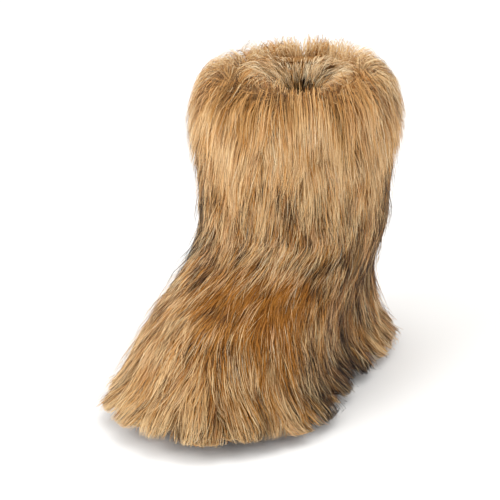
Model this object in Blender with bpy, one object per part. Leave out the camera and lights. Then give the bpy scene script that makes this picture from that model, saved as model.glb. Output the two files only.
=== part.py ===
"""Deep-pile snow boot for the left foot: one furred pull-on upper on a flat moulded sole, with its footbed.

Frame: +Z up, the toe towards -Y, the little-toe side at +X. The origin is on the floor, under the middle
of the heel. All sizes are in metres.
"""

import math
import random

import bmesh
import bpy
from mathutils import Vector

# Sole
SOLE_LENGTH = 0.262
HEEL_BACK = 0.042  # the sole's back edge behind the origin
BALL_WIDTH = 0.101
SOLE_HEIGHT = 0.021  # from the floor to the line where the upper meets the sole
SOLE_RIM = 0.003  # how far the sole stands out past the upper
TREAD_DEPTH = 0.004
TOE_SPRING = 0.008
ARCH_RISE = 0.003
BAR_WIDTH = 0.008
BAR_PITCH = 0.015
BAR_POINT = 0.006  # how far a tread bar's ends trail behind its middle
BAR_SINK = 0.002  # how deep a tread bar is moulded into the sole
HEEL_BARS = 5
FOREFOOT_BARS = 8
GROOVE_DEPTH = 0.0014  # the groove and the ribs round the sole's side

# Upper, outside its wall and under the pile
UPPER_WALL = 0.003
INSTEP_HEIGHT = 0.127
COLLAR_HEIGHT = 0.258
COLLAR_LENGTH = 0.131
COLLAR_WIDTH = 0.117
LEG_BACK = 0.0385  # the shaft's back, behind the origin

# Pile
SHAFT_PILE = 0.024
FOOT_PILE = 0.023
COLLAR_PILE = 0.028
RIM_PILE = 0.007  # how high the pile stands over the collar's edge
FACING_PILE = 0.026
FACING_DEPTH = 0.040  # how far the pile is turned down inside the collar
HEM_SPREAD = 0.045  # how far the lowest locks lie out past the upper
HEM_CLEARANCE = 0.0025  # the lowest lock tips above the floor
HEM_BACKING = 0.007  # the hem's inner side, out past the upper

# Footbed
INSOLE_THICKNESS = 0.005
INSOLE_CLEARANCE = 0.0008

GAP = 0.0003  # between pieces that touch

HALF_COLUMNS = 24  # steps from heel to toe on each side of the upper and sole
LOCK_COLUMNS = 96  # a ridge and a valley for each lock, all round
LOCK_ROWS = 9

# Outline of the foot: how full each side is against an ellipse of the ball's width.
# station: share of the length from heel to toe
FOOT_OUTLINE = (
    # station, little-toe side, big-toe side
    (0.00, 0.92, 0.92),
    (0.12, 0.91, 0.90),
    (0.28, 0.80, 0.72),
    (0.42, 0.76, 0.62),
    (0.57, 0.88, 0.78),
    (0.70, 1.06, 1.00),
    (0.82, 1.16, 1.20),
    (0.92, 1.14, 1.34),
    (1.00, 1.08, 1.40),
)

# Level sections of the foot.
# rise: share of the instep's height above the sole; toe, heel: shares of the reach to each end of the foot
# width: share of half the ball's width; round: 0 has the foot's outline and 1 is an ellipse
FOOT_SECTIONS = (
    # rise, toe, heel, width, round
    (0.00, 1.000, 1.00, 1.00, 0.00),
    (0.12, 1.020, 1.07, 1.05, 0.00),
    (0.26, 1.000, 1.10, 1.06, 0.06),
    (0.38, 0.950, 1.09, 1.02, 0.14),
    (0.48, 0.865, 1.07, 0.97, 0.22),
    (0.62, 0.715, 1.05, 0.94, 0.38),
    (0.80, 0.550, 1.08, 0.97, 0.66),
    (1.00, 0.440, 1.14, 1.06, 0.92),
)

# Level sections of the shaft.
# rise: share of the height from the instep to the collar; the others are shares of half the collar's size
SHAFT_SECTIONS = (
    # rise, front, back, width, round
    (0.22, 1.06, 0.99, 0.955, 1.00),
    (0.50, 1.00, 0.99, 0.970, 1.00),
    (0.75, 0.99, 1.00, 0.990, 1.00),
    (1.00, 1.00, 1.00, 1.000, 1.00),
)

# Side of the sole, from the tread up to the upper.
# rise: share of the side's height; out: shares of the groove's depth past the upper's rim
SOLE_SIDE = (
    # rise, out
    (0.00, -1.6),
    (0.14, 0.0),
    (0.34, 0.0),
    (0.40, -1.0),
    (0.46, 0.0),
    (0.52, -1.0),
    (0.58, 0.0),
    (0.64, -1.0),
    (0.70, 0.0),
    (0.92, 0.0),
    (1.00, -0.6),
)


def eased(share):
    share = min(max(share, 0.0), 1.0)
    return share * share * (3 - 2 * share)


def curve_through(rows, at):
    """The row of a table at a fractional index, on a smooth curve through the rows."""
    last = len(rows) - 1
    low = min(max(int(at), 0), last - 1)
    t = at - low
    before, a, b, after = (rows[min(max(low + k, 0), last)] for k in (-1, 0, 1, 2))
    mixed = []
    for p, q, r, s in zip(before, a, b, after):
        bend = (2 * p - 5 * q + 4 * r - s) * t * t + (3 * q - p - 3 * r + s) * t * t * t
        mixed.append(0.5 * (2 * q + (r - p) * t + bend))
    return mixed


def row_at(rows, value):
    """The row of a table whose first column is this value, on a smooth curve through the rows."""
    index = 0
    while index < len(rows) - 2 and rows[index + 1][0] < value:
        index += 1
    low, high = rows[index][0], rows[index + 1][0]
    return curve_through(rows, index + (value - low) / (high - low))


TOE_REACH = SOLE_LENGTH - HEEL_BACK - SOLE_RIM
HEEL_REACH = HEEL_BACK - SOLE_RIM


def upper_sections():
    """Each level section of the upper: height, reach to the front and back, half width and roundness."""
    rows = []
    for rise, toe, heel, width, roundness in FOOT_SECTIONS:
        height = SOLE_HEIGHT + GAP + rise * (INSTEP_HEIGHT - SOLE_HEIGHT)
        rows.append((height, toe * TOE_REACH, heel * HEEL_REACH, width * BALL_WIDTH / 2, roundness))
    half = COLLAR_LENGTH / 2
    leg = LEG_BACK - half
    for rise, front, back, width, roundness in SHAFT_SECTIONS:
        height = INSTEP_HEIGHT + rise * (COLLAR_HEIGHT - INSTEP_HEIGHT)
        rows.append((height, front * half - leg, back * half + leg, width * COLLAR_WIDTH / 2, roundness))
    return rows


SECTIONS = upper_sections()
COLLAR = len(SECTIONS) - 1  # the level of the collar, counted in sections


def toe_lift(y):
    """How far the toe spring lifts the sole at this place along the foot."""
    ball = 0.66 * TOE_REACH
    return TOE_SPRING * eased((-y - ball) / (SOLE_LENGTH - HEEL_BACK - ball)) ** 1.5


def fullness(station, side):
    _, outer, inner = row_at(FOOT_OUTLINE, station)
    return outer if side > 0 else inner


def outline_point(turn, front, back, half_width, roundness):
    """A point of a level outline. Turn runs from the heel (0) past the little-toe side to the toe (0.5)."""
    side = math.sin(2 * math.pi * turn)
    station = (1 - math.cos(2 * math.pi * turn)) / 2
    full = fullness(station, side)
    x = half_width * side * (full + (1 - full) * roundness)
    return x, back - station * (front + back)


def wall_point(turn, level):
    """A point on the outside of the upper's wall."""
    height, front, back, half_width, roundness = curve_through(SECTIONS, level)
    x, y = outline_point(turn, front, back, half_width, roundness)
    fade = 1 - eased((height - SOLE_HEIGHT) / (INSTEP_HEIGHT - SOLE_HEIGHT))
    return Vector((x, y, height + toe_lift(y) * fade))


def wall_normal(turn, level):
    step = 0.004
    around = wall_point(turn + step, level) - wall_point(turn - step, level)
    low, high = max(level - step, 0), min(level + step, COLLAR)
    up = wall_point(turn, high) - wall_point(turn, low)
    return up.cross(around).normalized()


def level_normal(turn, level):
    """The wall's normal with its rise taken out."""
    normal = wall_normal(turn, level)
    return Vector((normal.x, normal.y, 0)).normalized()


LEVEL_STEPS = 120


def climb():
    """How far up the wall each of the level steps lies, as a share of the way from the sole to the collar."""
    lengths = [0.0]
    for i in range(LEVEL_STEPS):
        low, high = COLLAR * i / LEVEL_STEPS, COLLAR * (i + 1) / LEVEL_STEPS
        run = sum((wall_point(t, high) - wall_point(t, low)).length for t in (0.0, 0.2, 0.35, 0.5))
        lengths.append(lengths[-1] + run)
    return [length / lengths[-1] for length in lengths]


CLIMB = climb()


def level_at(share):
    """The level at this share of the way from the sole to the collar, measured along the wall."""
    index = 0
    while index < LEVEL_STEPS - 1 and CLIMB[index + 1] < share:
        index += 1
    part = (share - CLIMB[index]) / (CLIMB[index + 1] - CLIMB[index])
    return COLLAR * (index + part) / LEVEL_STEPS


def share_of(level):
    """The share of the way from the sole to the collar at this level."""
    at = level / COLLAR * LEVEL_STEPS
    index = min(int(at), LEVEL_STEPS - 1)
    return CLIMB[index] + (at - index) * (CLIMB[index + 1] - CLIMB[index])


def level_of_height(height):
    """The level of the shaft at this height."""
    index = 0
    while index < COLLAR - 1 and SECTIONS[index + 1][0] < height:
        index += 1
    low, high = SECTIONS[index][0], SECTIONS[index + 1][0]
    return index + (height - low) / (high - low)


def material(name, colour, roughness):
    made = bpy.data.materials.new(name)
    made.use_nodes = True
    shader = made.node_tree.nodes["Principled BSDF"]
    shader.inputs["Base Color"].default_value = (*colour, 1)
    shader.inputs["Roughness"].default_value = roughness
    shader.inputs["Metallic"].default_value = 0
    return made


def finished(name, bm, look):
    """Links the shape as one named object, with its faces turned outwards."""
    bmesh.ops.recalc_face_normals(bm, faces=bm.faces)
    mesh = bpy.data.meshes.new(name)
    bm.to_mesh(mesh)
    bm.free()
    mesh.materials.append(look)
    made = bpy.data.objects.new(name, mesh)
    bpy.context.scene.collection.objects.link(made)
    return made


def ring(bm, points):
    return [bm.verts.new(p) for p in points]


def bridge(bm, a, b):
    """Faces between two rings of as many points, or with twice as many in the first."""
    n = len(b)
    for i in range(n):
        j = (i + 1) % n
        if len(a) == n:
            bm.faces.new((a[i], a[j], b[j], b[i]))
        else:
            near, middle, far = a[2 * i], a[2 * i + 1], a[(2 * i + 2) % len(a)]
            bm.faces.new((near, middle, b[i]))
            bm.faces.new((b[i], middle, b[j]))
            bm.faces.new((middle, far, b[j]))


def close_across(bm, points):
    """Closes a ring from heel to toe with faces that run from one side of the foot to the other."""
    half = len(points) // 2
    for i in range(half):
        left, right = points[i], points[i + 1]
        other, far = points[-i], points[-i - 1]
        corners = [left, right, far, other]
        bm.faces.new([c for k, c in enumerate(corners) if c not in corners[:k]])


TURNS = [i / (2 * HALF_COLUMNS) for i in range(2 * HALF_COLUMNS)]

# The wall's rings: shares of the way from the sole to the end of the turned-in pile, then of that pile's
# depth up to the collar. The pile's back follows the same rings.
RINGS_BELOW = (0, 0.07, 0.15, 0.24, 0.34, 0.44, 0.55, 0.68, 0.84)
RINGS_FACED = (1, 0.5, 0)
FACING_LEVELS = [level_of_height(COLLAR_HEIGHT - part * FACING_DEPTH) for part in RINGS_FACED]
FACING_SHARE = share_of(FACING_LEVELS[0])
RING_LEVELS = [level_at(share * FACING_SHARE) for share in RINGS_BELOW] + FACING_LEVELS


def upper_wall():
    """The hollow wall from the sole to the collar, open at both ends."""
    bm = bmesh.new()
    outside = [ring(bm, [wall_point(t, level) for t in TURNS]) for level in RING_LEVELS]
    inside = []
    for level in RING_LEVELS:
        inward = wall_normal if 0 < level < COLLAR else level_normal
        inside.append(ring(bm, [wall_point(t, level) - UPPER_WALL * inward(t, level) for t in TURNS]))
    loops = outside + inside[::-1]
    for a, b in zip(loops, loops[1:] + loops[:1]):
        bridge(bm, a, b)
    return bm


def sole_edge(turn, out):
    """A point of the sole's outline, this far out past the upper's foot."""
    foot = wall_point(turn, 0)
    return foot + out * level_normal(turn, 0)


def tread_height(y):
    """The sole's underside between the tread bars."""
    heel_end, ball = HEEL_BARS * BAR_PITCH / 2, 0.40 * TOE_REACH
    across = (-y - heel_end) / (ball - heel_end)
    arch = ARCH_RISE * math.sin(math.pi * across) if 0 < across < 1 else 0
    return TREAD_DEPTH + arch + toe_lift(y)


def sole_point(turn, rise, out):
    edge = sole_edge(turn, out)
    low, high = tread_height(edge.y), SOLE_HEIGHT + toe_lift(edge.y)
    return Vector((edge.x, edge.y, low + rise * (high - low)))


def sole_reach(y, side):
    """How far the sole's underside reaches to one side at this place along it, inside its rounded edge."""
    station = min(max((HEEL_BACK - y) / SOLE_LENGTH, 0), 1)
    across = math.sqrt(1 - (1 - 2 * station) ** 2) * BALL_WIDTH / 2
    return across * fullness(station, side) - 2.5 * GROOVE_DEPTH


def tread_bar(bm, y):
    """One bar of the tread, right across the sole: its middle is at y and its ends trail behind."""
    ends = y + BAR_POINT
    half = BAR_WIDTH / 2
    outer, inner = (min(sole_reach(ends - half, side), sole_reach(ends + half, side)) for side in (1, -1))
    low = toe_lift(y)
    high = tread_height(y) + BAR_SINK
    corners = [(outer, ends + half), (0, y + half), (-inner, ends + half)]
    corners += [(-inner, ends - half), (0, y - half), (outer, ends - half)]
    bottom = bm.faces.new([bm.verts.new((x, along, low)) for x, along in corners])
    top = bmesh.ops.extrude_face_region(bm, geom=[bottom])["geom"]
    lifted = [v for v in top if isinstance(v, bmesh.types.BMVert)]
    bmesh.ops.translate(bm, verts=lifted, vec=(0, 0, high - low))


def bar_places():
    heel = [BAR_PITCH * (i - HEEL_BARS // 2) for i in range(HEEL_BARS)]
    first = 0.43 * TOE_REACH
    forefoot = [-first - BAR_PITCH * i for i in range(FOREFOOT_BARS)]
    return heel + forefoot


def outsole(look):
    """The moulded sole, with its ribbed side, arch and toe spring, and its tread bars fused on."""
    bm = bmesh.new()
    rings = []
    for rise, out in SOLE_SIDE:
        past = SOLE_RIM + out * GROOVE_DEPTH
        rings.append(ring(bm, [sole_point(t, rise, past) for t in TURNS]))
    for a, b in zip(rings, rings[1:]):
        bridge(bm, a, b)
    close_across(bm, rings[0])
    close_across(bm, rings[-1])
    body = finished("outsole", bm, look)
    bars = bmesh.new()
    for y in bar_places():
        tread_bar(bars, y)
    cutter = finished("tread_bars", bars, look)
    cutter.hide_render = True
    cutter.display_type = "WIRE"
    join = body.modifiers.new("tread", "BOOLEAN")
    join.operation = "UNION"
    join.solver = "EXACT"
    join.object = cutter
    return body


def insole():
    """The footbed, inside the upper's wall and on the sole."""
    bm = bmesh.new()
    edge = -UPPER_WALL - INSOLE_CLEARANCE
    soft = 0.25 * INSOLE_THICKNESS
    rings = []
    for rise, inset in ((0, soft), (0.3, 0), (0.75, 0), (1, soft)):
        points = []
        for t in TURNS:
            place = sole_edge(t, edge - inset)
            base = SOLE_HEIGHT + GAP + toe_lift(place.y)
            points.append((place.x, place.y, base + rise * INSOLE_THICKNESS))
        rings.append(ring(bm, points))
    for a, b in zip(rings, rings[1:]):
        bridge(bm, a, b)
    close_across(bm, rings[0])
    close_across(bm, rings[-1])
    return bm


def pile_depth(level):
    """How far the pile stands off the outside of the wall."""
    instep = len(FOOT_SECTIONS) - 1
    if level < instep:
        return FOOT_PILE + (SHAFT_PILE - FOOT_PILE) * level / instep
    share = eased((level - instep) / (COLLAR - instep) * 1.6 - 0.6)
    return SHAFT_PILE + (COLLAR_PILE - SHAFT_PILE) * share


def pile_at_level(turn, level, height):
    return wall_point(turn, level) + (GAP + height * pile_depth(level)) * wall_normal(turn, level)


def pile_on_wall(turn, share, height):
    """Outside: share runs from the sole (0) to the collar (1), height from the wall (0) to the pile's face."""
    return pile_at_level(turn, level_at(share), height)


def pile_on_rim(turn, share, height):
    """Over the collar: share runs from the outside (0) to the inside (1) of its edge."""
    angle = math.pi * share
    out = level_normal(turn, COLLAR)
    middle = wall_point(turn, COLLAR) - out * UPPER_WALL / 2
    depth = COLLAR_PILE + (FACING_PILE - COLLAR_PILE) * eased(share)
    flat = UPPER_WALL / 2 + GAP + height * depth
    tall = GAP + height * RIM_PILE
    return middle + out * flat * math.cos(angle) + Vector((0, 0, tall * math.sin(angle)))


def pile_on_facing(turn, share, height):
    """Inside the collar: share runs from its edge (0) down to the end of the turned-in pile (1)."""
    level = level_of_height(COLLAR_HEIGHT - share * FACING_DEPTH)
    inward = -wall_normal(turn, level) if share > 0 else -level_normal(turn, COLLAR)
    return wall_point(turn, level) + (UPPER_WALL + GAP + height * FACING_PILE) * inward


def pile_on_hem(turn, out, height):
    """Round the sole: out is a share of the hem's spread, height a share of the sole's."""
    place = sole_edge(turn, out * HEM_SPREAD)
    low = HEM_CLEARANCE + toe_lift(place.y)
    return Vector((place.x, place.y, low + height * (SOLE_HEIGHT - HEM_CLEARANCE)))


def lock_ring(bm, place, row, ridge, valley, wander=None, drift=0):
    """A ring through one row of locks, whose ridges and valleys take turns.

    ridge and valley each give a share along the row and a height. wander shifts each lock's tip, and drift
    is how far the whole row waves up and down on its way round.
    """
    points = []
    for i in range(LOCK_COLUMNS):
        on_ridge = (i + row) % 2 == 0
        share, height = ridge if on_ridge else valley
        turn = i / LOCK_COLUMNS
        share += drift * math.sin(2 * math.pi * (3 + row % 2) * turn + 2.1 * row)
        if on_ridge and wander:
            lean, stretch, lift = wander[i]
            share += stretch
            height *= lift
            turn += lean / LOCK_COLUMNS
        points.append(place(turn, share, height))
    return ring(bm, points)


def fur():
    """The pile: rows of locks that hang over each other, fused to one backing that wraps the collar's edge."""
    bm = bmesh.new()
    draw = random.Random(7)

    def wandering(length):
        tips = []
        for _ in range(LOCK_COLUMNS):
            lean, stretch = draw.uniform(-0.4, 0.4), length * draw.uniform(-0.3, 0.3)
            tips.append((lean, stretch, draw.uniform(0.88, 1.12)))
        return tips

    loops = []
    # From inside the boot up and over the collar's edge
    loops.append(lock_ring(bm, pile_on_facing, 0, (0.86, 0.78), (0.66, 0.62), wandering(0.1)))
    loops.append(lock_ring(bm, pile_on_facing, 0, (0.40, 1.0), (0.30, 0.80)))
    loops.append(lock_ring(bm, pile_on_rim, 0, (0.92, 0.98), (0.92, 0.86)))
    loops.append(lock_ring(bm, pile_on_rim, 0, (0.68, 0.92), (0.68, 0.86), wandering(0.03)))
    loops.append(lock_ring(bm, pile_on_rim, 1, (0.46, 1.0), (0.46, 0.90), wandering(0.03)))
    loops.append(lock_ring(bm, pile_on_rim, 1, (0.22, 1.03), (0.22, 0.92), wandering(0.03)))
    # Rows down the outside
    step = 1 / LOCK_ROWS
    for row in range(LOCK_ROWS):
        top = 1 - row * step
        wave = 0.22 * step if row else 0
        if row:
            tucked = top + 0.14 * step
            before = 0.22 * step if row > 1 else 0
            loops.append(lock_ring(bm, pile_on_wall, row, (tucked, 0.72), (tucked, 0.68), drift=before))
        middle = top - 0.45 * step
        loops.append(lock_ring(bm, pile_on_wall, row, (middle, 0.98), (middle, 0.86), drift=wave))
        if row < LOCK_ROWS - 1:
            tip, notch = (top - 1.15 * step, 1.14), (top - 0.78 * step, 0.90)
            loops.append(lock_ring(bm, pile_on_wall, row, tip, notch, wandering(step), wave))
    # The hem's locks, and back under them to the sole
    last = LOCK_ROWS - 1
    loops.append(lock_ring(bm, pile_on_hem, last, (0.74, 0.95), (0.66, 0.95)))
    loops.append(lock_ring(bm, pile_on_hem, last, (1.02, 0.10), (0.78, 0.38), wandering(0.25)))
    columns = [i / (LOCK_COLUMNS // 2) for i in range(LOCK_COLUMNS // 2)]
    under = [pile_on_hem(t, HEM_BACKING / HEM_SPREAD, 0.28) for t in columns]
    loops.append(ring(bm, under))
    beside = [pile_on_hem(t, (SOLE_RIM + 2 * GAP) / HEM_SPREAD, 1.0) for t in columns]
    loops.append(ring(bm, beside))
    for level in RING_LEVELS[1:-1]:
        loops.append(ring(bm, [pile_at_level(t, level, 0) for t in columns]))
    for inset in (-GAP, UPPER_WALL + GAP):
        edge = [wall_point(t, COLLAR) - inset * level_normal(t, COLLAR) for t in columns]
        loops.append(ring(bm, [p + Vector((0, 0, GAP)) for p in edge]))
    for share in (0.5, 1):
        loops.append(ring(bm, [pile_on_facing(t, share, 0) for t in columns]))
    for a, b in zip(loops, loops[1:]):
        bridge(bm, a, b)
    # The lower end of the turned-in pile
    first, last = loops[0], loops[-1]
    bridge(bm, first, last)
    return bm


for old in list(bpy.data.objects):
    bpy.data.objects.remove(old, do_unlink=True)

RUBBER = material("moulded rubber", (0.030, 0.026, 0.024), 0.75)
BACKING = material("knitted backing", (0.30, 0.20, 0.12), 0.95)
PILE = material("acrylic pile", (0.52, 0.34, 0.17), 0.70)
FOAM = material("brushed footbed", (0.42, 0.31, 0.20), 0.95)

outsole(RUBBER)
finished("insole", insole(), FOAM)
finished("upper", upper_wall(), BACKING)
finished("fur", fur(), PILE)
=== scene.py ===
import math

import bmesh
import bpy
import numpy as np
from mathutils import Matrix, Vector
from mathutils.kdtree import KDTree


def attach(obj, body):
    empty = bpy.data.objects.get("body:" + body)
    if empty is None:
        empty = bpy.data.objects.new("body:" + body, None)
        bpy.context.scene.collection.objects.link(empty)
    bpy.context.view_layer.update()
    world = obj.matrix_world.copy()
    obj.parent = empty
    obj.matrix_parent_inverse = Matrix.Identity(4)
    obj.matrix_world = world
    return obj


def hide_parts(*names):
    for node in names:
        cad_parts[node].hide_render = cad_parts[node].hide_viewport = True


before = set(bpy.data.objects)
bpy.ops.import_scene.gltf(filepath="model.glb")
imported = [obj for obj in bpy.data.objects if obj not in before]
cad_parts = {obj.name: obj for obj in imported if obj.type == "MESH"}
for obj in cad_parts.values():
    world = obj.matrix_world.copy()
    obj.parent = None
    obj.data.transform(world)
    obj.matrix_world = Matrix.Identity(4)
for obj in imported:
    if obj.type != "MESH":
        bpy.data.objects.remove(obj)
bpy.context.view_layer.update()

# Camera
# A long lens from in front of the boot, on its little-toe side, a little above the collar.
AZIMUTH, ELEVATION = math.radians(28.5), math.radians(22.0)
DISTANCE = 1.95
VIEW_HEIGHT = 0.440  # what the frame spans at the boot
AIM = Vector((-0.0165, -0.0805, 0.1149))

camera_data = bpy.data.cameras.new("camera")
camera_data.sensor_fit = "HORIZONTAL"
camera_data.lens = camera_data.sensor_width * DISTANCE / VIEW_HEIGHT
camera = bpy.data.objects.new("camera", camera_data)
towards_camera = Vector(
    (
        math.sin(AZIMUTH) * math.cos(ELEVATION),
        -math.cos(AZIMUTH) * math.cos(ELEVATION),
        math.sin(ELEVATION),
    )
)
camera.location = AIM + towards_camera * DISTANCE
camera.rotation_euler = towards_camera.to_track_quat("Z", "Y").to_euler()
bpy.context.scene.collection.objects.link(camera)
bpy.context.scene.camera = camera
bpy.context.scene.view_settings.view_transform = "Standard"


# Floor
# A plain sheet of matt white paper under the boot.
FLOOR_SIZE = 6.0
PAPER = "#f4f3f1"


def linear(colour):
    """The linear colour of an sRGB hex value."""
    shares = [int(colour[i : i + 2], 16) / 255 for i in (1, 3, 5)]
    return [s / 12.92 if s <= 0.04045 else ((s + 0.055) / 1.055) ** 2.4 for s in shares] + [1.0]


def add_node(tree, kind, settings=None, values=None, links=None):
    """Adds a node with its settings, its sockets' values and the sockets that feed it."""
    node = tree.nodes.new(kind)
    for name, value in (settings or {}).items():
        setattr(node, name, value)
    for name, value in (values or {}).items():
        node.inputs[name].default_value = value
    for name, socket in (links or {}).items():
        tree.links.new(socket, node.inputs[name])
    return node


def new_material(name, colour, roughness, **sockets):
    """A material with one Principled shader, and the shader."""
    made = bpy.data.materials.new(name)
    made.use_nodes = True
    shader = made.node_tree.nodes["Principled BSDF"]
    shader.inputs["Base Color"].default_value = linear(colour)
    shader.inputs["Roughness"].default_value = roughness
    for socket, value in sockets.items():
        shader.inputs[socket.replace("_", " ")].default_value = value
    return made, shader


def new_piece(name, mesh, look):
    mesh.materials.append(look)
    made = bpy.data.objects.new(name, mesh)
    bpy.context.scene.collection.objects.link(made)
    return made


sheet = bmesh.new()
bmesh.ops.create_grid(sheet, x_segments=1, y_segments=1, size=FLOOR_SIZE / 2)
sheet_mesh = bpy.data.meshes.new("floor")
sheet.to_mesh(sheet_mesh)
sheet.free()
paper, _ = new_material("matt paper", PAPER, 0.9)
new_piece("floor", sheet_mesh, paper)


# Lights
# Soft studio light: a pale room, the main lamp in front and above, a weak one on the little-toe side and
# one overhead.
LIT_POINT = Vector((0, -0.06, 0.12))  # inside the boot, where the lamps aim

world = bpy.data.worlds.new("room")
world.use_nodes = True
world.node_tree.nodes["Background"].inputs["Color"].default_value = (1.0, 1.0, 1.0, 1.0)
world.node_tree.nodes["Background"].inputs["Strength"].default_value = 1.0
bpy.context.scene.world = world
for lamp_name, place, size, watts in (
    ("key lamp", (-0.85, -1.50, 1.15), 1.1, 18.0),
    ("side lamp", (1.35, -0.75, 1.0), 0.9, 3.0),
    ("top lamp", (0.1, 0.25, 1.9), 1.2, 8.0),
):
    lamp_data = bpy.data.lights.new(lamp_name, "AREA")
    lamp_data.size = size
    lamp_data.energy = watts
    lamp = bpy.data.objects.new(lamp_name, lamp_data)
    lamp.location = place
    backwards = Vector(place) - LIT_POINT
    lamp.rotation_euler = backwards.to_track_quat("Z", "Y").to_euler()
    bpy.context.scene.collection.objects.link(lamp)


# Outsole
# Foamed rubber, moulded in one piece, with bars for a tread. It stays as the solid has it, dark and matt,
# with the fine pitting of a foam mould.


def noise(tree, scale, detail, vector):
    values, links = {"Scale": scale, "Detail": detail}, {"Vector": vector}
    return add_node(tree, "ShaderNodeTexNoise", values=values, links=links).outputs["Fac"]


def coloured(tree, shader, value, *stops):
    """Colours a shader by a value, between two stops of position and colour."""
    shade = add_node(tree, "ShaderNodeValToRGB", links={"Fac": value})
    for element, (position, colour) in zip(shade.color_ramp.elements, stops):
        element.position, element.color = position, linear(colour)
    tree.links.new(shade.outputs["Color"], shader.inputs["Base Color"])


def bumped(tree, shader, height, strength, distance):
    values = {"Strength": strength, "Distance": distance}
    bump = add_node(tree, "ShaderNodeBump", values=values, links={"Height": height})
    tree.links.new(bump.outputs["Normal"], shader.inputs["Normal"])


def dress(node, look):
    """Gives a solid of the frame this material alone."""
    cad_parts[node].data.materials.clear()
    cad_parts[node].data.materials.append(look)


rubber, rubber_shader = new_material("foamed rubber, moulded", "#2b2724", 0.72, Specular_IOR_Level=0.35)
tree = rubber.node_tree
place = add_node(tree, "ShaderNodeTexCoord").outputs["Object"]
pits = noise(tree, 900.0, 3.0, place)
worn = noise(tree, 45.0, 4.0, place)
coloured(tree, rubber_shader, worn, (0.35, "#211e1c"), (0.70, "#38332f"))
bumped(tree, rubber_shader, pits, strength=0.35, distance=0.0002)
dress("outsole", rubber)


# Insole
# A footbed of foam with brushed plush on top. It lies loose inside, on the sole.
plush, plush_shader = new_material("brushed plush on foam", "#b08d62", 0.95, Specular_IOR_Level=0.2)
tree = plush.node_tree
place = add_node(tree, "ShaderNodeTexCoord").outputs["Object"]
tufts = noise(tree, 420.0, 6.0, place)
drift = noise(tree, 40.0, 2.0, place)
both = add_node(tree, "ShaderNodeMath", {"operation": "MULTIPLY_ADD"}, {1: 0.6}, {0: tufts, 2: drift})
coloured(tree, plush_shader, both.outputs[0], (0.55, "#8d6c47"), (1.0, "#d0b084"))
bumped(tree, plush_shader, tufts, strength=0.8, distance=0.0008)
dress("insole", plush)


# Upper
# Knitted polyester backing, cut and sewn on the last. Only its brushed inner side shows, down the collar. Its
# colour is the knit's own brown, made darker as painted shade inside the opening.
lining, lining_shader = new_material("brushed knit, darkened as painted shade", "#54402c", 0.95, Specular_IOR_Level=0.2)
tree = lining.node_tree
place = add_node(tree, "ShaderNodeTexCoord").outputs["Object"]
knit = noise(tree, 520.0, 5.0, place)
# the knit's brown, darkened as painted shade
coloured(tree, lining_shader, knit, (0.30, "#33261a"), (0.75, "#6f5539"))
bumped(tree, lining_shader, knit, strength=0.7, distance=0.0006)
dress("upper", lining)


# Underfur
# The short crimped wool of the pile, which stands thick on the backing and carries the long hairs. It wraps
# the whole boot, over the collar's edge and down to the hem, as the fur solid does, at about half its depth.
SOLE_LENGTH = 0.262
HEEL_BACK = 0.042
BALL_WIDTH = 0.101
SOLE_HEIGHT = 0.021
SOLE_RIM = 0.003
TOE_SPRING = 0.008
SPRING_START = 0.66  # share of the reach to the toe where the sole begins to rise
UPPER_WALL = 0.003
INSTEP_HEIGHT = 0.127
COLLAR_HEIGHT = 0.258
COLLAR_LENGTH = 0.131
COLLAR_WIDTH = 0.117
LEG_BACK = 0.0385
GAP = 0.0003
UNDERFUR_DEPTH = 0.0125
RIM_UNDERFUR = 0.0030  # its height over the collar's edge
FACING_UNDERFUR = 0.006  # its depth inside the collar
FACING_DEPTH = 0.040  # how far it is turned down inside
UNDERFUR_GAP = 0.0005  # between it and the backing
UNDERFUR_LIFT = 0.0006  # between it and the collar's edge

# station from heel to toe, fullness on the little-toe side, on the big-toe side
FOOT_OUTLINE = np.array(
    (
        (0.00, 0.92, 0.92),
        (0.12, 0.91, 0.90),
        (0.28, 0.80, 0.72),
        (0.42, 0.76, 0.62),
        (0.57, 0.88, 0.78),
        (0.70, 1.06, 1.00),
        (0.82, 1.16, 1.20),
        (0.92, 1.14, 1.34),
        (1.00, 1.08, 1.40),
    )
)
# rise above the sole, reach to the toe, to the heel, width, roundness
FOOT_SECTIONS = (
    (0.00, 1.000, 1.00, 1.00, 0.00),
    (0.12, 1.020, 1.07, 1.05, 0.00),
    (0.26, 1.000, 1.10, 1.06, 0.06),
    (0.38, 0.950, 1.09, 1.02, 0.14),
    (0.48, 0.865, 1.07, 0.97, 0.22),
    (0.62, 0.715, 1.05, 0.94, 0.38),
    (0.80, 0.550, 1.08, 0.97, 0.66),
    (1.00, 0.440, 1.14, 1.06, 0.92),
)
# rise above the instep, front, back, width, roundness
SHAFT_SECTIONS = (
    (0.22, 1.06, 0.99, 0.955, 1.00),
    (0.50, 1.00, 0.99, 0.970, 1.00),
    (0.75, 0.99, 1.00, 0.990, 1.00),
    (1.00, 1.00, 1.00, 1.000, 1.00),
)
TOE_REACH = SOLE_LENGTH - HEEL_BACK - SOLE_RIM
HEEL_REACH = HEEL_BACK - SOLE_RIM
LEG_AXIS = LEG_BACK - COLLAR_LENGTH / 2

sections = []
for rise, toe, heel, width, roundness in FOOT_SECTIONS:
    height = SOLE_HEIGHT + GAP + rise * (INSTEP_HEIGHT - SOLE_HEIGHT)
    sections.append((height, toe * TOE_REACH, heel * HEEL_REACH, width * BALL_WIDTH / 2, roundness))
for rise, front, back, width, roundness in SHAFT_SECTIONS:
    height = INSTEP_HEIGHT + rise * (COLLAR_HEIGHT - INSTEP_HEIGHT)
    half = COLLAR_LENGTH / 2
    front_reach, back_reach = front * half - LEG_AXIS, back * half + LEG_AXIS
    sections.append((height, front_reach, back_reach, width * COLLAR_WIDTH / 2, roundness))
sections = np.array(sections)


def eased(share):
    share = np.clip(share, 0.0, 1.0)
    return share * share * (3 - 2 * share)


UP = np.array((0, 0, 1.0))


def unit(vectors):
    return vectors / np.maximum(np.linalg.norm(vectors, axis=-1, keepdims=True), 1e-9)


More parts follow.
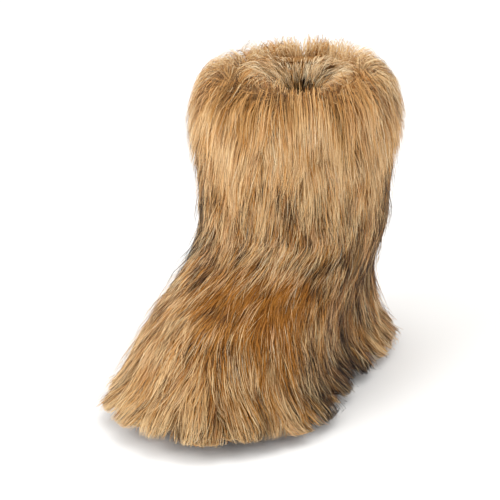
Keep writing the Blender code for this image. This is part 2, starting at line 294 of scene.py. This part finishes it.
def curve_through(rows, at):
    """Rows of a table at fractional indices, on a smooth curve through the rows."""
    last = len(rows) - 1
    low = np.clip(np.floor(at).astype(int), 0, last - 1)
    t = (at - low)[:, None]
    before, a, b, after = (rows[np.clip(low + k, 0, last)] for k in (-1, 0, 1, 2))
    bend = (2 * before - 5 * a + 4 * b - after) * t**2 + (3 * a - before - 3 * b + after) * t**3
    return 0.5 * (2 * a + (b - before) * t + bend)


def toe_lift(y):
    ball = SPRING_START * TOE_REACH
    return TOE_SPRING * eased((-y - ball) / (SOLE_LENGTH - HEEL_BACK - ball)) ** 1.5


def wall_rings(levels, columns):
    """Points on the backing's outside, a ring for each level, from the heel round the little-toe side."""
    turn = 2 * np.pi * np.arange(columns) / columns
    side, station = np.sin(turn), (1 - np.cos(turn)) / 2
    index = np.interp(station, FOOT_OUTLINE[:, 0], np.arange(len(FOOT_OUTLINE)))
    outline = curve_through(FOOT_OUTLINE, index)
    full = np.where(side > 0, outline[:, 1], outline[:, 2])
    height, front, back, half, roundness = (c[:, None] for c in curve_through(sections, levels).T)
    x = half * side * (full + (1 - full) * roundness)
    y = back - station * (front + back)
    fade = 1 - eased((height - SOLE_HEIGHT) / (INSTEP_HEIGHT - SOLE_HEIGHT))
    return np.stack([x, y, height + toe_lift(y) * fade], axis=-1)


def level_normals(rings):
    """Outward directions of each ring, without any rise."""
    along = np.roll(rings, -1, axis=1) - np.roll(rings, 1, axis=1)
    return unit(np.stack([-along[..., 1], along[..., 0], 0 * along[..., 0]], axis=-1))


COLUMNS = 192
collar_level = len(sections) - 1
fine_levels = np.linspace(0, collar_level, 600)
fine_wall = wall_rings(fine_levels, 24)
climb = np.linalg.norm(np.diff(fine_wall, axis=0), axis=-1).mean(axis=1).cumsum()
climb = np.insert(climb, 0, 0.0)  # metres up the wall at each level, on the average of all columns

# The skin that the hairs are rooted in: rows from the floor up the sole's side and the wall to the collar
HEM_ROWS, WALL_ROWS = 12, 120
HEM_FLARE = 0.003  # how far out the lowest row is past the sole's rim
HEM_CLEARANCE = 0.0015  # about how far the lowest row is above the floor
wall_shares = np.linspace(0, 1, WALL_ROWS)
wall = wall_rings(np.interp(wall_shares * climb[-1], climb, fine_levels), COLUMNS)
foot_edge, foot_out = wall[0], level_normals(wall[:1])[0]
hem = []
for drop in np.linspace(1, 0, HEM_ROWS, endpoint=False):
    out = SOLE_RIM + HEM_FLARE * drop
    row = foot_edge + foot_out * out * eased(drop * 4)
    row[:, 2] -= drop * (SOLE_HEIGHT - HEM_CLEARANCE)
    hem.append(row)
skin = np.concatenate([np.array(hem), wall])
around = np.roll(skin, -1, axis=1) - np.roll(skin, 1, axis=1)
skin_normals = unit(np.cross(np.gradient(skin, axis=0), around))
for _ in range(6):  # the corner between the sole's side and the wall is rounded off
    skin_normals[1:-1] = unit(skin_normals[:-2] + 2 * skin_normals[1:-1] + skin_normals[2:])
WALL_CLIMB = climb[-1]
hem_heights = np.linspace(-SOLE_HEIGHT, 0, HEM_ROWS, endpoint=False)
row_heights = np.concatenate([hem_heights, wall_shares * WALL_CLIMB])


def on_rings(rings, row, turn):
    """Values of a grid of rings at fractional rows and turns."""
    row = np.clip(row, 0, len(rings) - 1.001)
    low = row.astype(int)
    t = (row - low)[..., None]
    column = (turn % 1.0) * COLUMNS
    left = column.astype(int) % COLUMNS
    right = (left + 1) % COLUMNS
    u = (column - np.floor(column))[..., None]
    first = rings[low, left] * (1 - u) + rings[low, right] * u
    second = rings[low + 1, left] * (1 - u) + rings[low + 1, right] * u
    return first * (1 - t) + second * t


def swept(loops, columns):
    """A closed band through rings of points, extruded from one ring to the next and bridged at its end."""
    bm = bmesh.new()
    bmesh.ops.create_circle(bm, segments=columns, radius=1.0)
    number = bm.verts.layers.int.new("turn")
    for i, vert in enumerate(bm.verts):
        vert[number] = i
        vert.co = loops[0][i]
    first = list(bm.edges)
    edges = first
    for loop in loops[1:]:
        made = bmesh.ops.extrude_edge_only(bm, edges=edges)["geom"]
        edges = [g for g in made if isinstance(g, bmesh.types.BMEdge) and len(g.link_faces) == 1]
        for vert in made:
            if isinstance(vert, bmesh.types.BMVert):
                vert.co = loop[vert[number]]
    bmesh.ops.bridge_loops(bm, edges=first + edges)
    bmesh.ops.recalc_face_normals(bm, faces=bm.faces)
    return bm


UNDERFUR_COLUMNS = 96
every = COLUMNS // UNDERFUR_COLUMNS
draw = np.random.default_rng(3)
turns = np.arange(UNDERFUR_COLUMNS) / UNDERFUR_COLUMNS
loops = []
for row in np.linspace(1.5, len(skin) - 1.001, 40):
    near, out = skin[int(row), ::every], skin_normals[int(row), ::every]
    tuft = 1 + 0.12 * np.sin(2 * np.pi * (turns * 31 + 0.37 * row))
    tuft += draw.uniform(-0.08, 0.08, UNDERFUR_COLUMNS)
    widened = 1 + 0.8 * eased((0.10 - (row - HEM_ROWS) / WALL_ROWS) / 0.16)
    loops.append(near + out * (UNDERFUR_DEPTH * widened * tuft)[:, None])
collar, collar_out = wall[-1, ::every], level_normals(wall[-1:])[0][::every]
for angle in (35, 65, 90, 115, 145):
    swing = math.radians(angle)
    out, up = UNDERFUR_DEPTH * math.cos(swing), RIM_UNDERFUR * math.sin(swing)
    loops.append(collar + collar_out * (out - UPPER_WALL / 2) + up * UP)
for depth in (0.0, 0.012, 0.024, 0.036):
    loops.append(collar - collar_out * (UPPER_WALL + FACING_UNDERFUR) - depth * UP)
loops.append(collar - collar_out * (UPPER_WALL + UNDERFUR_GAP) - FACING_DEPTH * UP)
loops.append(collar - collar_out * (UPPER_WALL + UNDERFUR_GAP) + UNDERFUR_LIFT * UP)
loops.append(collar + collar_out * UNDERFUR_GAP + UNDERFUR_LIFT * UP)
for row in np.linspace(len(skin) - 2, HEM_ROWS + 1, 26):
    loops.append(skin[int(row), ::every] + UNDERFUR_GAP * skin_normals[int(row), ::every])
loops.append(skin[4, ::every] + 0.0012 * skin_normals[4, ::every])
underfur_bm = swept(loops, UNDERFUR_COLUMNS)
underfur_mesh = bpy.data.meshes.new("underfur")
underfur_bm.to_mesh(underfur_mesh)
underfur_bm.free()
underfur_mesh.shade_smooth()
wool, wool_shader = new_material("crimped acrylic wool", "#7d5a38", 0.95, Specular_IOR_Level=0.15)
tree = wool.node_tree
place = add_node(tree, "ShaderNodeTexCoord").outputs["Object"]
lengthwise = {"Scale": (1.0, 1.0, 0.16)}  # so that the fibres run up and down
combed = add_node(tree, "ShaderNodeMapping", values=lengthwise, links={"Vector": place})
fibres = noise(tree, 520.0, 4.0, combed.outputs["Vector"])
patches = noise(tree, 26.0, 2.0, place)
both = add_node(tree, "ShaderNodeMath", {"operation": "MULTIPLY_ADD"}, {1: 0.8}, {0: fibres, 2: patches})
coloured(tree, wool_shader, both.outputs[0], (0.60, "#4a3320"), (1.0, "#b08553"))
bumped(tree, wool_shader, fibres, strength=1.0, distance=0.0015)
underfur = new_piece("underfur", underfur_mesh, wool)
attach(underfur, "root")
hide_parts("fur")


# Guard hairs
# The long acrylic hairs of the pile, in tan, peach and brown, many with a dark tip, tufted through the
# backing and combed down in locks. Each is drawn several times as thick as a real one, so that it shows.
HAIR_WIDTH = 0.00045
CREST = 0.45  # where along a hair its middle colour is purest
LONERS = 0.38  # the share of hairs whose tone isn't that of their tuft

# Colours at a hair's root, middle and tip
HAIR_TONES = (
    ("ruff cream", "#c39a62", "#d8aa70", "#ecca98"),
    ("ruff tan", "#b0854c", "#c69254", "#dfb27a"),
    # the palest tone, also used as painted light at the back of the collar's edge
    ("ruff pale", "#dab784", "#e8ca9a", "#f6e0b8"),
    ("gold", "#663e16", "#b87832", "#cf944c"),
    ("peach", "#7a4c28", "#c8925e", "#ddb080"),
    ("cream", "#80582c", "#d0a268", "#e8c896"),
    ("orange", "#54300c", "#965a18", "#b4762e"),
    ("brown", "#3f2610", "#7d4c22", "#92622e"),
    ("grey brown", "#3d2c1c", "#755535", "#92744c"),
    ("tan, dark tip", "#663e16", "#a86e34", "#35241a"),
    ("cream, dark tip", "#7a522a", "#c28e54", "#4a3627"),
    ("dark", "#1e1712", "#281f18", "#14100e"),
    ("silver", "#6a563e", "#a8957a", "#d2c2a6"),
    ("brown, black tip", "#4a2e16", "#744822", "#1c1511"),
    ("banded", "#6b441e", "#64431f", "#dab682"),
    ("parting", "#3e260e", "#7d5526", "#bb8e52"),
)
TONE = {name: i for i, (name, *_) in enumerate(HAIR_TONES)}

pile, pile_shader = new_material(
    "acrylic pile, combed", "#b67c3e", 0.60, Specular_IOR_Level=0.12, Sheen_Weight=0.08
)
tree = pile.node_tree
chart = add_node(tree, "ShaderNodeUVMap", {"uv_map": "OFBake"})
split = add_node(tree, "ShaderNodeSeparateXYZ", links={"Vector": chart.outputs["UV"]})
stages = []
for stage in (1, 2, 3):
    ramp = add_node(tree, "ShaderNodeValToRGB", links={"Fac": split.outputs["X"]})
    ramp.color_ramp.interpolation = "CONSTANT"
    while len(ramp.color_ramp.elements) < len(HAIR_TONES):
        ramp.color_ramp.elements.new(0.5)
    for i, tone in enumerate(HAIR_TONES):
        ramp.color_ramp.elements[i].position = i / len(HAIR_TONES)
        ramp.color_ramp.elements[i].color = linear(tone[stage])
    stages.append(ramp)
lower = add_node(
    tree,
    "ShaderNodeMapRange",
    {"interpolation_type": "SMOOTHSTEP"},
    {"From Min": 0.05, "From Max": CREST},
    {"Value": split.outputs["Y"]},
)
upper_part = add_node(
    tree,
    "ShaderNodeMapRange",
    {"interpolation_type": "SMOOTHSTEP"},
    {"From Min": CREST, "From Max": 0.85},
    {"Value": split.outputs["Y"]},
)
from_root = add_node(
    tree,
    "ShaderNodeMix",
    {"data_type": "RGBA"},
    links={0: lower.outputs["Result"], 6: stages[0].outputs["Color"], 7: stages[1].outputs["Color"]},
)
to_tip = add_node(
    tree,
    "ShaderNodeMix",
    {"data_type": "RGBA"},
    links={0: upper_part.outputs["Result"], 6: from_root.outputs[2], 7: stages[2].outputs["Color"]},
)
tree.links.new(to_tip.outputs[2], pile_shader.inputs["Base Color"])


def nearest(points, centres):
    """For each point, the number of the nearest centre."""
    net = KDTree(len(centres))
    for i, centre in enumerate(centres):
        net.insert(centre, i)
    net.balance()
    return np.array([net.find(p)[1] for p in points])


def gathered(paths, seed, size, strength, power):
    """Draws hairs together towards their tips, in tufts of about this many, and gives each hair's tuft.

    The strength is one share or one for each hair.
    """
    picks = np.random.default_rng(seed)
    leaders = picks.choice(len(paths), max(len(paths) // size, 1), replace=False)
    tuft = nearest(paths[:, 0], paths[leaders, 0])
    along = np.linspace(0, 1, paths.shape[1]) ** power
    pull = (strength * picks.uniform(0.55, 1.0, len(paths)))[:, None] * along
    return paths + pull[..., None] * (paths[leaders[tuft]] - paths), tuft


def hair_mesh(name, paths, facing, tones, widths, seed):
    """Flat tapered hairs along paths, turned to face outwards, joined into one mesh with the tone chart."""
    picks = np.random.default_rng(seed)
    count, points = paths.shape[:2]
    along = unit(np.gradient(paths, axis=1))
    across = unit(np.cross(along, facing))
    over = np.cross(across, along)
    roll = picks.uniform(-0.9, 0.9, count)[:, None, None]
    across = across * np.cos(roll) + over * np.sin(roll)
    over = np.cross(across, along)
    taper = np.interp(np.linspace(0, 1, points), (0, 0.3, 0.75, 1), (0.75, 1.0, 0.75, 0.0))
    half = (widths[:, None] / 2 * taper)[..., None] * across
    left, right = (paths - half)[:, :-1], (paths + half)[:, :-1]
    tips = paths[:, -1:]
    verts = np.concatenate([left, right, tips], axis=1)
    shading = unit(0.85 * facing + 0.15 * over)
    normals = np.concatenate([shading[:, :-1], shading[:, :-1], shading[:, -1:]], axis=1)
    segments = points - 1
    rungs = np.arange(segments - 1)
    quads = np.stack([rungs, rungs + segments, rungs + segments + 1, rungs + 1], axis=1)
    last = np.array([segments - 1, 2 * segments - 1, 2 * segments])
    corners = np.concatenate([quads.ravel(), last])
    loop_verts = (np.arange(count)[:, None] * verts.shape[1] + corners).ravel()
    totals = np.tile(np.append(np.full(segments - 1, 4), 3), count)
    starts = np.concatenate([[0], totals.cumsum()[:-1]])
    mesh = bpy.data.meshes.new(name)
    mesh.vertices.add(verts.shape[0] * verts.shape[1])
    mesh.vertices.foreach_set("co", verts.ravel().astype(np.float32))
    mesh.loops.add(len(loop_verts))
    mesh.loops.foreach_set("vertex_index", loop_verts.astype(np.int32))
    mesh.polygons.add(len(totals))
    mesh.polygons.foreach_set("loop_start", starts.astype(np.int32))
    mesh.update(calc_edges=True)
    mesh.polygons.foreach_set("use_smooth", np.ones(len(totals), dtype=bool))
    steps = np.linspace(0.01, 0.99, points)
    columns = np.concatenate([np.full(segments, 0.3), np.full(segments, 0.7), [0.5]])
    rows = np.concatenate([steps[:-1], steps[:-1], steps[-1:]])
    chart_u = (tones[:, None] + columns[None, :]) / len(HAIR_TONES)
    chart_v = np.broadcast_to(rows, chart_u.shape)
    uv = np.stack([chart_u, chart_v], axis=-1)[:, corners].reshape(-1, 2)
    layer = mesh.uv_layers.new(name="OFBake")
    layer.uv.foreach_set("vector", uv.ravel().astype(np.float32))
    mesh.normals_split_custom_set_from_vertices(normals.reshape(-1, 3).tolist())
    return mesh


def add_hair(name, paths, facing, tones, widths, seed):
    hair = new_piece(name, hair_mesh(name, paths, facing, tones, widths, seed), pile)
    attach(hair, "root")


def soft_spot(turn, share, at_turn, at_share, wide, tall):
    """1 in the middle of a soft spot on the skin, fading to 0."""
    away = (turn - at_turn + 0.5) % 1.0 - 0.5
    return np.exp(-((away / wide) ** 2) - ((share - at_share) / tall) ** 2)


# How common each tone is: in the fine pile, in the long hairs over it, and in the ruff; then whether it is
# commoner in the light (+) or dark (-) streaks
TONE_SHARES = {
    "ruff cream": (0.1, 0.1, 1.6, 0.5),
    "ruff tan": (0.3, 0.1, 1.6, -0.5),
    "ruff pale": (0.0, 0.1, 0.25, 1.0),
    "gold": (1.6, 1.0, 0.5, 0.0),
    "peach": (1.0, 1.2, 0.4, 0.5),
    "cream": (0.6, 1.4, 0.4, 1.0),
    "orange": (0.7, 0.3, 0.1, -0.5),
    "brown": (0.6, 0.2, 0.1, -0.9),
    "grey brown": (0.2, 0.3, 0.1, -0.9),
    "tan, dark tip": (0.2, 0.5, 0.0, -0.7),
    "cream, dark tip": (0.0, 0.6, 0.0, 0.0),
    "dark": (0.0, 0.06, 0.0, -1.2),
    "silver": (0.0, 0.09, 0.0, 0.3),
    "brown, black tip": (0.1, 0.2, 0.0, -1.2),
    "banded": (0.0, 0.3, 0.0, -0.2),
    "parting": (0.0, 0.0, 0.1, -1.0),
}
FINE_PILE, LONG_HAIR, RUFF, IN_LIGHT = range(4)  # its columns

# Soft patches of one colour: turn round the boot, share of the way up, how wide and tall, and how strong
DARK_HAIR_AND_PAINTED_SHADE = (
    # partly dark hair, partly painted shade on the side away from the main lamp
    (0.18, 0.52, 0.045, 0.28, 6.0),
    # partly dark hair, partly the painted shadow of a neighbouring boot
    (0.68, 0.56, 0.055, 0.24, 8.0),
    (0.41, 0.60, 0.010, 0.10, 0.7),
    (0.378, 0.62, 0.009, 0.10, 2.2),
    (0.355, 0.55, 0.009, 0.16, 2.4),
    (0.30, 0.52, 0.040, 0.18, 1.4),
    (0.46, 0.52, 0.012, 0.10, 1.5),
    (0.245, -0.05, 0.035, 0.11, 60.0),
    (0.37, -0.13, 0.060, 0.07, 3.0),
    (0.31, 0.02, 0.025, 0.12, 4.0),
    (0.335, 0.12, 0.015, 0.12, 3.0),
    (0.85, 0.45, 0.08, 0.25, 1.2),
)
ORANGE_PATCHES = (
    (0.44, 0.30, 0.08, 0.10, 26.0),
    (0.38, 0.22, 0.04, 0.12, 5.0),
    (0.47, 0.18, 0.03, 0.10, 2.5),
)
PALE_HAIR_AND_PAINTED_LIGHT = (
    # paler hair, and painted light on the big-toe side, where the main lamp falls
    (0.58, 0.10, 0.10, 0.22, 4.5),
    (0.42, 0.70, 0.16, 0.12, 1.2),
    # paler hair at the toe, and painted light there
    (0.48, -0.04, 0.12, 0.10, 3.0),
)
# the patches, 1 where the ruff hides them and 0 where not, and how much of each tone they add
PATCHES = (
    (DARK_HAIR_AND_PAINTED_SHADE, 1, {"dark": 1.0, "brown, black tip": 1.0, "grey brown": 0.6}),
    (ORANGE_PATCHES, 1, {"orange": 1.0, "brown": 0.3}),
    (PALE_HAIR_AND_PAINTED_LIGHT, 0, {"ruff cream": 1.0, "cream": 0.7}),
)


def streaks(turn, row, across, down, seed):
    """A smooth random value over the skin, in streaks: so many round the boot and so many down it."""
    grid = np.random.default_rng(seed).normal(0, 1, (down + 1, across))
    x, y = (turn % 1.0) * across, np.clip(row / len(skin), 0, 0.999) * down
    left, low = x.astype(int) % across, y.astype(int)
    u, v = eased(x - np.floor(x)), eased(y - low)
    right = (left + 1) % across
    first = grid[low, left] * (1 - u) + grid[low, right] * u
    second = grid[low + 1, left] * (1 - u) + grid[low + 1, right] * u
    return first * (1 - v) + second * v


def tone_weights(turn, row, kind):
    """How common each tone is for hairs rooted at these places."""
    table = np.array([TONE_SHARES[tone[0]] for tone in HAIR_TONES])
    share = (row - HEM_ROWS) / WALL_ROWS
    # the ruff's paler tones end in streaks down the shaft
    ruffed = eased((share + 0.09 * streaks(turn, 0 * row, 60, 1, 93) - 0.71) / 0.26)[:, None]
    weight = table[None, :, kind] * (1 - ruffed) + table[None, :, RUFF] * ruffed
    light = 1.0 * streaks(turn, row, 110, 6, 191) + 0.6 * streaks(turn, row, 40, 4, 192)
    weight = weight * np.exp(table[None, :, IN_LIGHT] * light[:, None])
    below = share - 0.10  # what shows is the hair's lower half
    for patches, hidden, tones in PATCHES:
        for at_turn, at_share, wide, tall, gain in patches:
            spot = gain * soft_spot(turn, below, at_turn, at_share, wide, tall) * (1 - hidden * ruffed[:, 0])
            for tone, part in tones.items():
                weight[:, TONE[tone]] += part * spot
    return weight


def chosen_tones(weight, tuft, alone, seed):
    """A tone for each hair: all hairs of a tuft share one, but for a few that stand alone."""
    picks = np.random.default_rng(seed)
    weight = weight.cumsum(axis=1)
    spin = picks.uniform(0, 1, tuft.max() + 1)[tuft]
    spin = np.where(picks.uniform(0, 1, len(tuft)) < alone, picks.uniform(0, 1, len(tuft)), spin)
    return (spin[:, None] * weight[:, -1:] > weight).sum(axis=1)


PILE_DEPTH = 0.0265
COLLAR_SWELL = 0.002  # how much deeper it is at the collar
HEM_SPLAY, SPLAY_HEIGHT = 0.018, 0.058  # how much further out at the floor, and from how high it spreads
TOE_HEM = 0.007  # how much further the hem reaches at the toe


def pile_height(row):
    """How far the pile stands off the wall at this row of the skin: more at the collar, most at the hem."""
    share = (row - HEM_ROWS) / WALL_ROWS
    above_floor = np.interp(row, np.arange(len(skin)), row_heights + SOLE_HEIGHT)
    splay = np.clip(1 - above_floor / SPLAY_HEIGHT, 0, 1) ** 1.3
    return PILE_DEPTH + COLLAR_SWELL * eased((share - 0.6) / 0.4) + HEM_SPLAY * splay


# The face of the pile, smoother than the wall under it: it fills the bend at the instep
towards_toe = np.clip(np.cos(2 * np.pi * (np.arange(COLUMNS) / COLUMNS - 0.5)), 0, 1) ** 3
face = skin + skin_normals * pile_height(np.arange(len(skin)))[:, None, None]
face[:HEM_ROWS] += foot_out * (TOE_HEM * towards_toe)[:, None]
for _ in range(70):
    face[1:-1] = (face[:-2] + 2 * face[1:-1] + face[2:]) / 4


def scattered_roots(count, picks):
    """Places on the skin, spread evenly over the pile's face."""
    side = np.linalg.norm(np.roll(face, -1, axis=1) - face, axis=-1)[:-1]
    tall = np.linalg.norm(np.diff(face, axis=0), axis=-1)
    area = side * (tall + 0.0012)
    area[:2] = 0
    cell = picks.choice(area.size, count, p=area.ravel() / area.sum())
    row, column = np.divmod(cell, COLUMNS)
    return row + picks.uniform(0, 1, count), (column + picks.uniform(0, 1, count)) / COLUMNS


STRAYS = 0.07  # the share of hairs that stand out from the rest
SHORTEST = 0.016  # a hair at the floor
LOFTY = 0.042  # the length from which a hair has its full loft


def combed_down(count, length, points, loft_from, loft_to, bend, seed):
    """Hairs combed down all over the skin: the rows and turns of their roots, their paths and the way out."""
    picks = np.random.default_rng(seed)
    row, turn = scattered_roots(count, picks)
    # how many metres a row and a full turn are
    between = (skin + face) / 2
    tall = np.linalg.norm(np.gradient(between, axis=0), axis=-1)
    wide = np.linalg.norm(np.roll(between, -1, axis=1) - np.roll(between, 1, axis=1), axis=-1) * COLUMNS / 2
    per_turn = on_rings(wide[..., None], row, turn)
    long = length * picks.uniform(0.75, 1.18, (count, 1))
    # near the floor the hairs are cut shorter, to a ragged edge, and lie lower
    to_floor = np.interp(row, np.arange(len(skin)), row_heights + SOLE_HEIGHT)[:, None]
    ragged = 0.009 * streaks(turn, 0 * row, 100, 1, 95)[:, None] + picks.uniform(0.000, 0.006, (count, 1))
    long = np.minimum(long, np.maximum(to_floor * 1.6 - ragged, SHORTEST))
    loft = picks.uniform(loft_from, loft_to, (count, 1)) * np.minimum(long / LOFTY, 1) ** 0.6
    loft += np.where(picks.uniform(0, 1, (count, 1)) < STRAYS, picks.uniform(0.1, 0.35, (count, 1)), 0)
    sway = 0.03 * np.sin(2 * np.pi * 5 * turn + 0.11 * row)
    sway += 0.04 * np.sin(2 * np.pi * 11 * turn - 0.17 * row)
    lean = picks.normal(0, 0.09, (count, 1)) + sway[:, None]
    curl = picks.normal(0, 0.09, (count, 1))
    step = np.linspace(0, 1, points)[None, :]
    rows = [row]
    for _ in range(points - 1):
        here = on_rings(tall[..., None], rows[-1], turn)[:, 0]
        rows.append(np.maximum(rows[-1] - long[:, 0] * 0.92 / (points - 1) / here, 0.1))
    rows = np.stack(rows, axis=1)
    turns = turn[:, None] + long * (lean * step + curl * step**2) / per_turn
    height = (loft * (1 - (1 - step) ** bend))[..., None]
    root_side, face_side = on_rings(skin, rows, turns), on_rings(face, rows, turns)
    paths = root_side + (face_side - root_side) * height
    return row, turn, paths, unit(face_side - root_side)


def add_combed(names, kind, count, length, points, loft, bend, wisp_size, lock_size, seed):
    """Adds combed hair, in wisps within larger locks, as several pieces from the collar down to the hem."""
    row, turn, paths, out = combed_down(count, length, points, *loft, bend, seed)
    at_hem = eased((0.30 - (row - HEM_ROWS) / WALL_ROWS) / 0.25)
    paths, wisp = gathered(paths, seed + 1, wisp_size, 0.42, 1.3)
    paths, _ = gathered(paths, seed + 2, lock_size, 0.30 + 0.50 * at_hem, 1.5)
    picks = np.random.default_rng(seed + 3)
    floor = picks.uniform(0.0010, 0.0035, (count, 1))
    paths[..., 2] = np.maximum(paths[..., 2], floor)
    tones = chosen_tones(tone_weights(turn, row, kind), wisp, LONERS, seed + 4)
    widths = HAIR_WIDTH * picks.uniform(0.7, 1.3, count)
    order = np.argsort(-row)
    for name, part in zip(names, np.array_split(order, len(names))):
        add_hair(name, paths[part], out[part], tones[part], widths[part], seed + 5)


add_combed(
    ("shaft_pile", "hem_pile"),
    FINE_PILE,
    count=56000,
    length=0.044,
    points=4,
    loft=(0.5, 0.95),
    bend=2.0,
    wisp_size=16,
    lock_size=130,
    seed=11,
)
add_combed(
    ("shaft_guard_hairs", "ankle_guard_hairs", "foot_guard_hairs"),
    LONG_HAIR,
    count=52000,
    length=0.064,
    points=5,
    loft=(0.92, 1.08),
    bend=2.6,
    wisp_size=20,
    lock_size=160,
    seed=31,
)


# Ruff
# Longer and paler hairs round the collar's edge. They part along the edge: outside they fall back over the
# shaft, and inside they lean over the opening and narrow it.
RUFF_DEPTH, OPENING_DEPTH = 0.040, 0.032  # how far below the edge its hairs are rooted outside and inside
# turns round the edge: its front, where its hairs lean furthest in, where the opening shows, and behind that
FRONT_TURN, CLOSED_TURN, OPEN_TURN, BEHIND_TURN = 0.42, 0.58, 0.39, 0.93


def ruff(name, out_from, out_to, count, length, angles, bend, seed):
    """Hair round the collar's edge; out runs from 1, outside and below the edge, over 0 to -1, inside.

    angles gives the angle at which a hair leaves, from level and outwards to level and inwards, on the edge,
    just beside it and at the far end, for the boot's front and its back. A larger bend makes it fall sooner.
    """
    picks = np.random.default_rng(seed)
    turn = picks.uniform(0, 1, count)
    out = picks.uniform(out_from, out_to, count)
    far = np.abs(out)
    # the outer roots thin out downwards and end raggedly
    ragged = 1 + 0.3 * streaks(turn, 0 * turn, 48, 1, 96)
    depth = np.where(out > 0, RUFF_DEPTH * far**1.3 * ragged, OPENING_DEPTH * far)
    row = len(skin) - 1.002 - depth / WALL_CLIMB * WALL_ROWS
    level = on_rings(np.repeat(level_normals(wall[-1:]), 2, axis=0), 0 * turn, turn)
    base = on_rings(skin, row, turn) - level * np.where(out > 0, 0, UPPER_WALL)[:, None]
    front = eased((np.cos(2 * np.pi * (turn - FRONT_TURN)) + 0.35) / 0.9)
    at_front, at_back = (np.interp(far, (0, 0.12, 1), side) for side in angles)
    rise = at_front * front + at_back * (1 - front)
    # inside, the hairs of the front and of the big-toe side lean further over the opening than the others
    closing = np.where(out < 0, eased((np.cos(2 * np.pi * (turn - CLOSED_TURN)) + 0.5) / 1.2), 0)
    # but for a place at the front, where the opening shows, and the place behind it
    gap = np.where(out < 0, soft_spot(turn, 0, OPEN_TURN, 0, 0.065, 1), 0)
    gap_behind = np.where(out < 0, soft_spot(turn, 0, BEHIND_TURN, 0, 0.075, 1), 0)
    rise += 6 * closing - 20 * gap + 18 * streaks(turn, row, 34, 40, 97)  # degrees
    rise = np.radians(rise) + picks.normal(0, 0.28, count)
    start = level * np.cos(rise)[:, None] + UP * np.sin(rise)[:, None]
    sideways = np.cross(level, UP)
    aslant = (0.25 + 0.2 * front) * streaks(turn, row, 26, 24, 98) + picks.normal(0, 0.24, count)
    start = unit(start + sideways * aslant[:, None])
    outward = np.where(out > 0, 0.25 - 0.15 * far, -0.8)[:, None]
    fall = unit(-UP + outward * level)
    step = np.linspace(0, 1, 6)
    middle = (step[:-1] + step[1:]) / 2
    # at the back of the edge they are shorter and fall less, so that their pale tips show
    at_edge = (1 - eased(far / 0.35)) * (1 - front)
    fallen = (1 - (1 - middle) ** (bend * (1 - 0.5 * at_edge[:, None])))[..., None]
    heading = unit(start[:, None] * (1 - fallen) + fall[:, None] * fallen)
    inside = np.where(out < 0, (0.80 + 0.35 * closing) * (1 - 0.5 * gap - 0.22 * gap_behind), 1)
    long = (length * (1 - 0.33 * at_edge) * inside * picks.uniform(0.72, 1.15, count))[:, None, None]
    paths = base[:, None] + np.insert((heading * long / 5).cumsum(axis=1), 0, 0, axis=1)
    paths, wisp = gathered(paths, seed + 1, 16, 0.42, 1.3)
    paths, _ = gathered(paths, seed + 2, 200, 0.40 * np.maximum(front, 0.6), 1.5)
    along = unit(np.gradient(paths, axis=1))
    sidewards = np.where(out > 0, 0.9 * far - 0.7 * at_edge, -0.5)[:, None]
    towards = unit(level * sidewards + 0.8 * UP)
    facing = towards[:, None] - (along * towards[:, None]).sum(axis=-1, keepdims=True) * along
    weight = tone_weights(turn, row, RUFF)
    weight[:, TONE["parting"]] += 1.5 * front * np.exp(-((out / 0.15) ** 2))
    # painted light: at the back of the edge the palest tone is added, to make up for the shade among the
    # dense upright hairs
    weight[:, TONE["ruff pale"]] += 6.0 * (1 - front) * np.exp(-((out / 0.45) ** 2))
    # Painted shade: the deeper inside the opening a hair is rooted, the more it takes the dark tones, for the
    # shade that falls there
    painted_shade_inside = np.where(out < 0, eased((far - 0.25) / 0.30), 0)  # painted shade down inside the opening
    weight *= 1 - 0.9 * painted_shade_inside[:, None]
    weight[:, TONE["parting"]] += 3.0 * painted_shade_inside
    weight[:, TONE["dark"]] += 5.0 * painted_shade_inside
    tones = chosen_tones(weight, wisp, LONERS, seed + 3)
    widths = HAIR_WIDTH * picks.uniform(0.7, 1.3, count)
    add_hair(name, paths, unit(facing), tones, widths, seed + 4)


ruff(
    "ruff_hair",
    out_from=0.0,
    out_to=1.0,
    count=21000,
    length=0.056,
    angles=((80, 40, -25), (82, 55, -20)),
    bend=1.4,
    seed=51,
)
ruff(
    "opening_hair",
    out_from=-1.0,
    out_to=0.0,
    count=9500,
    length=0.042,
    angles=((106, 130, 165), (110, 138, 165)),
    bend=0.8,
    seed=61,
)
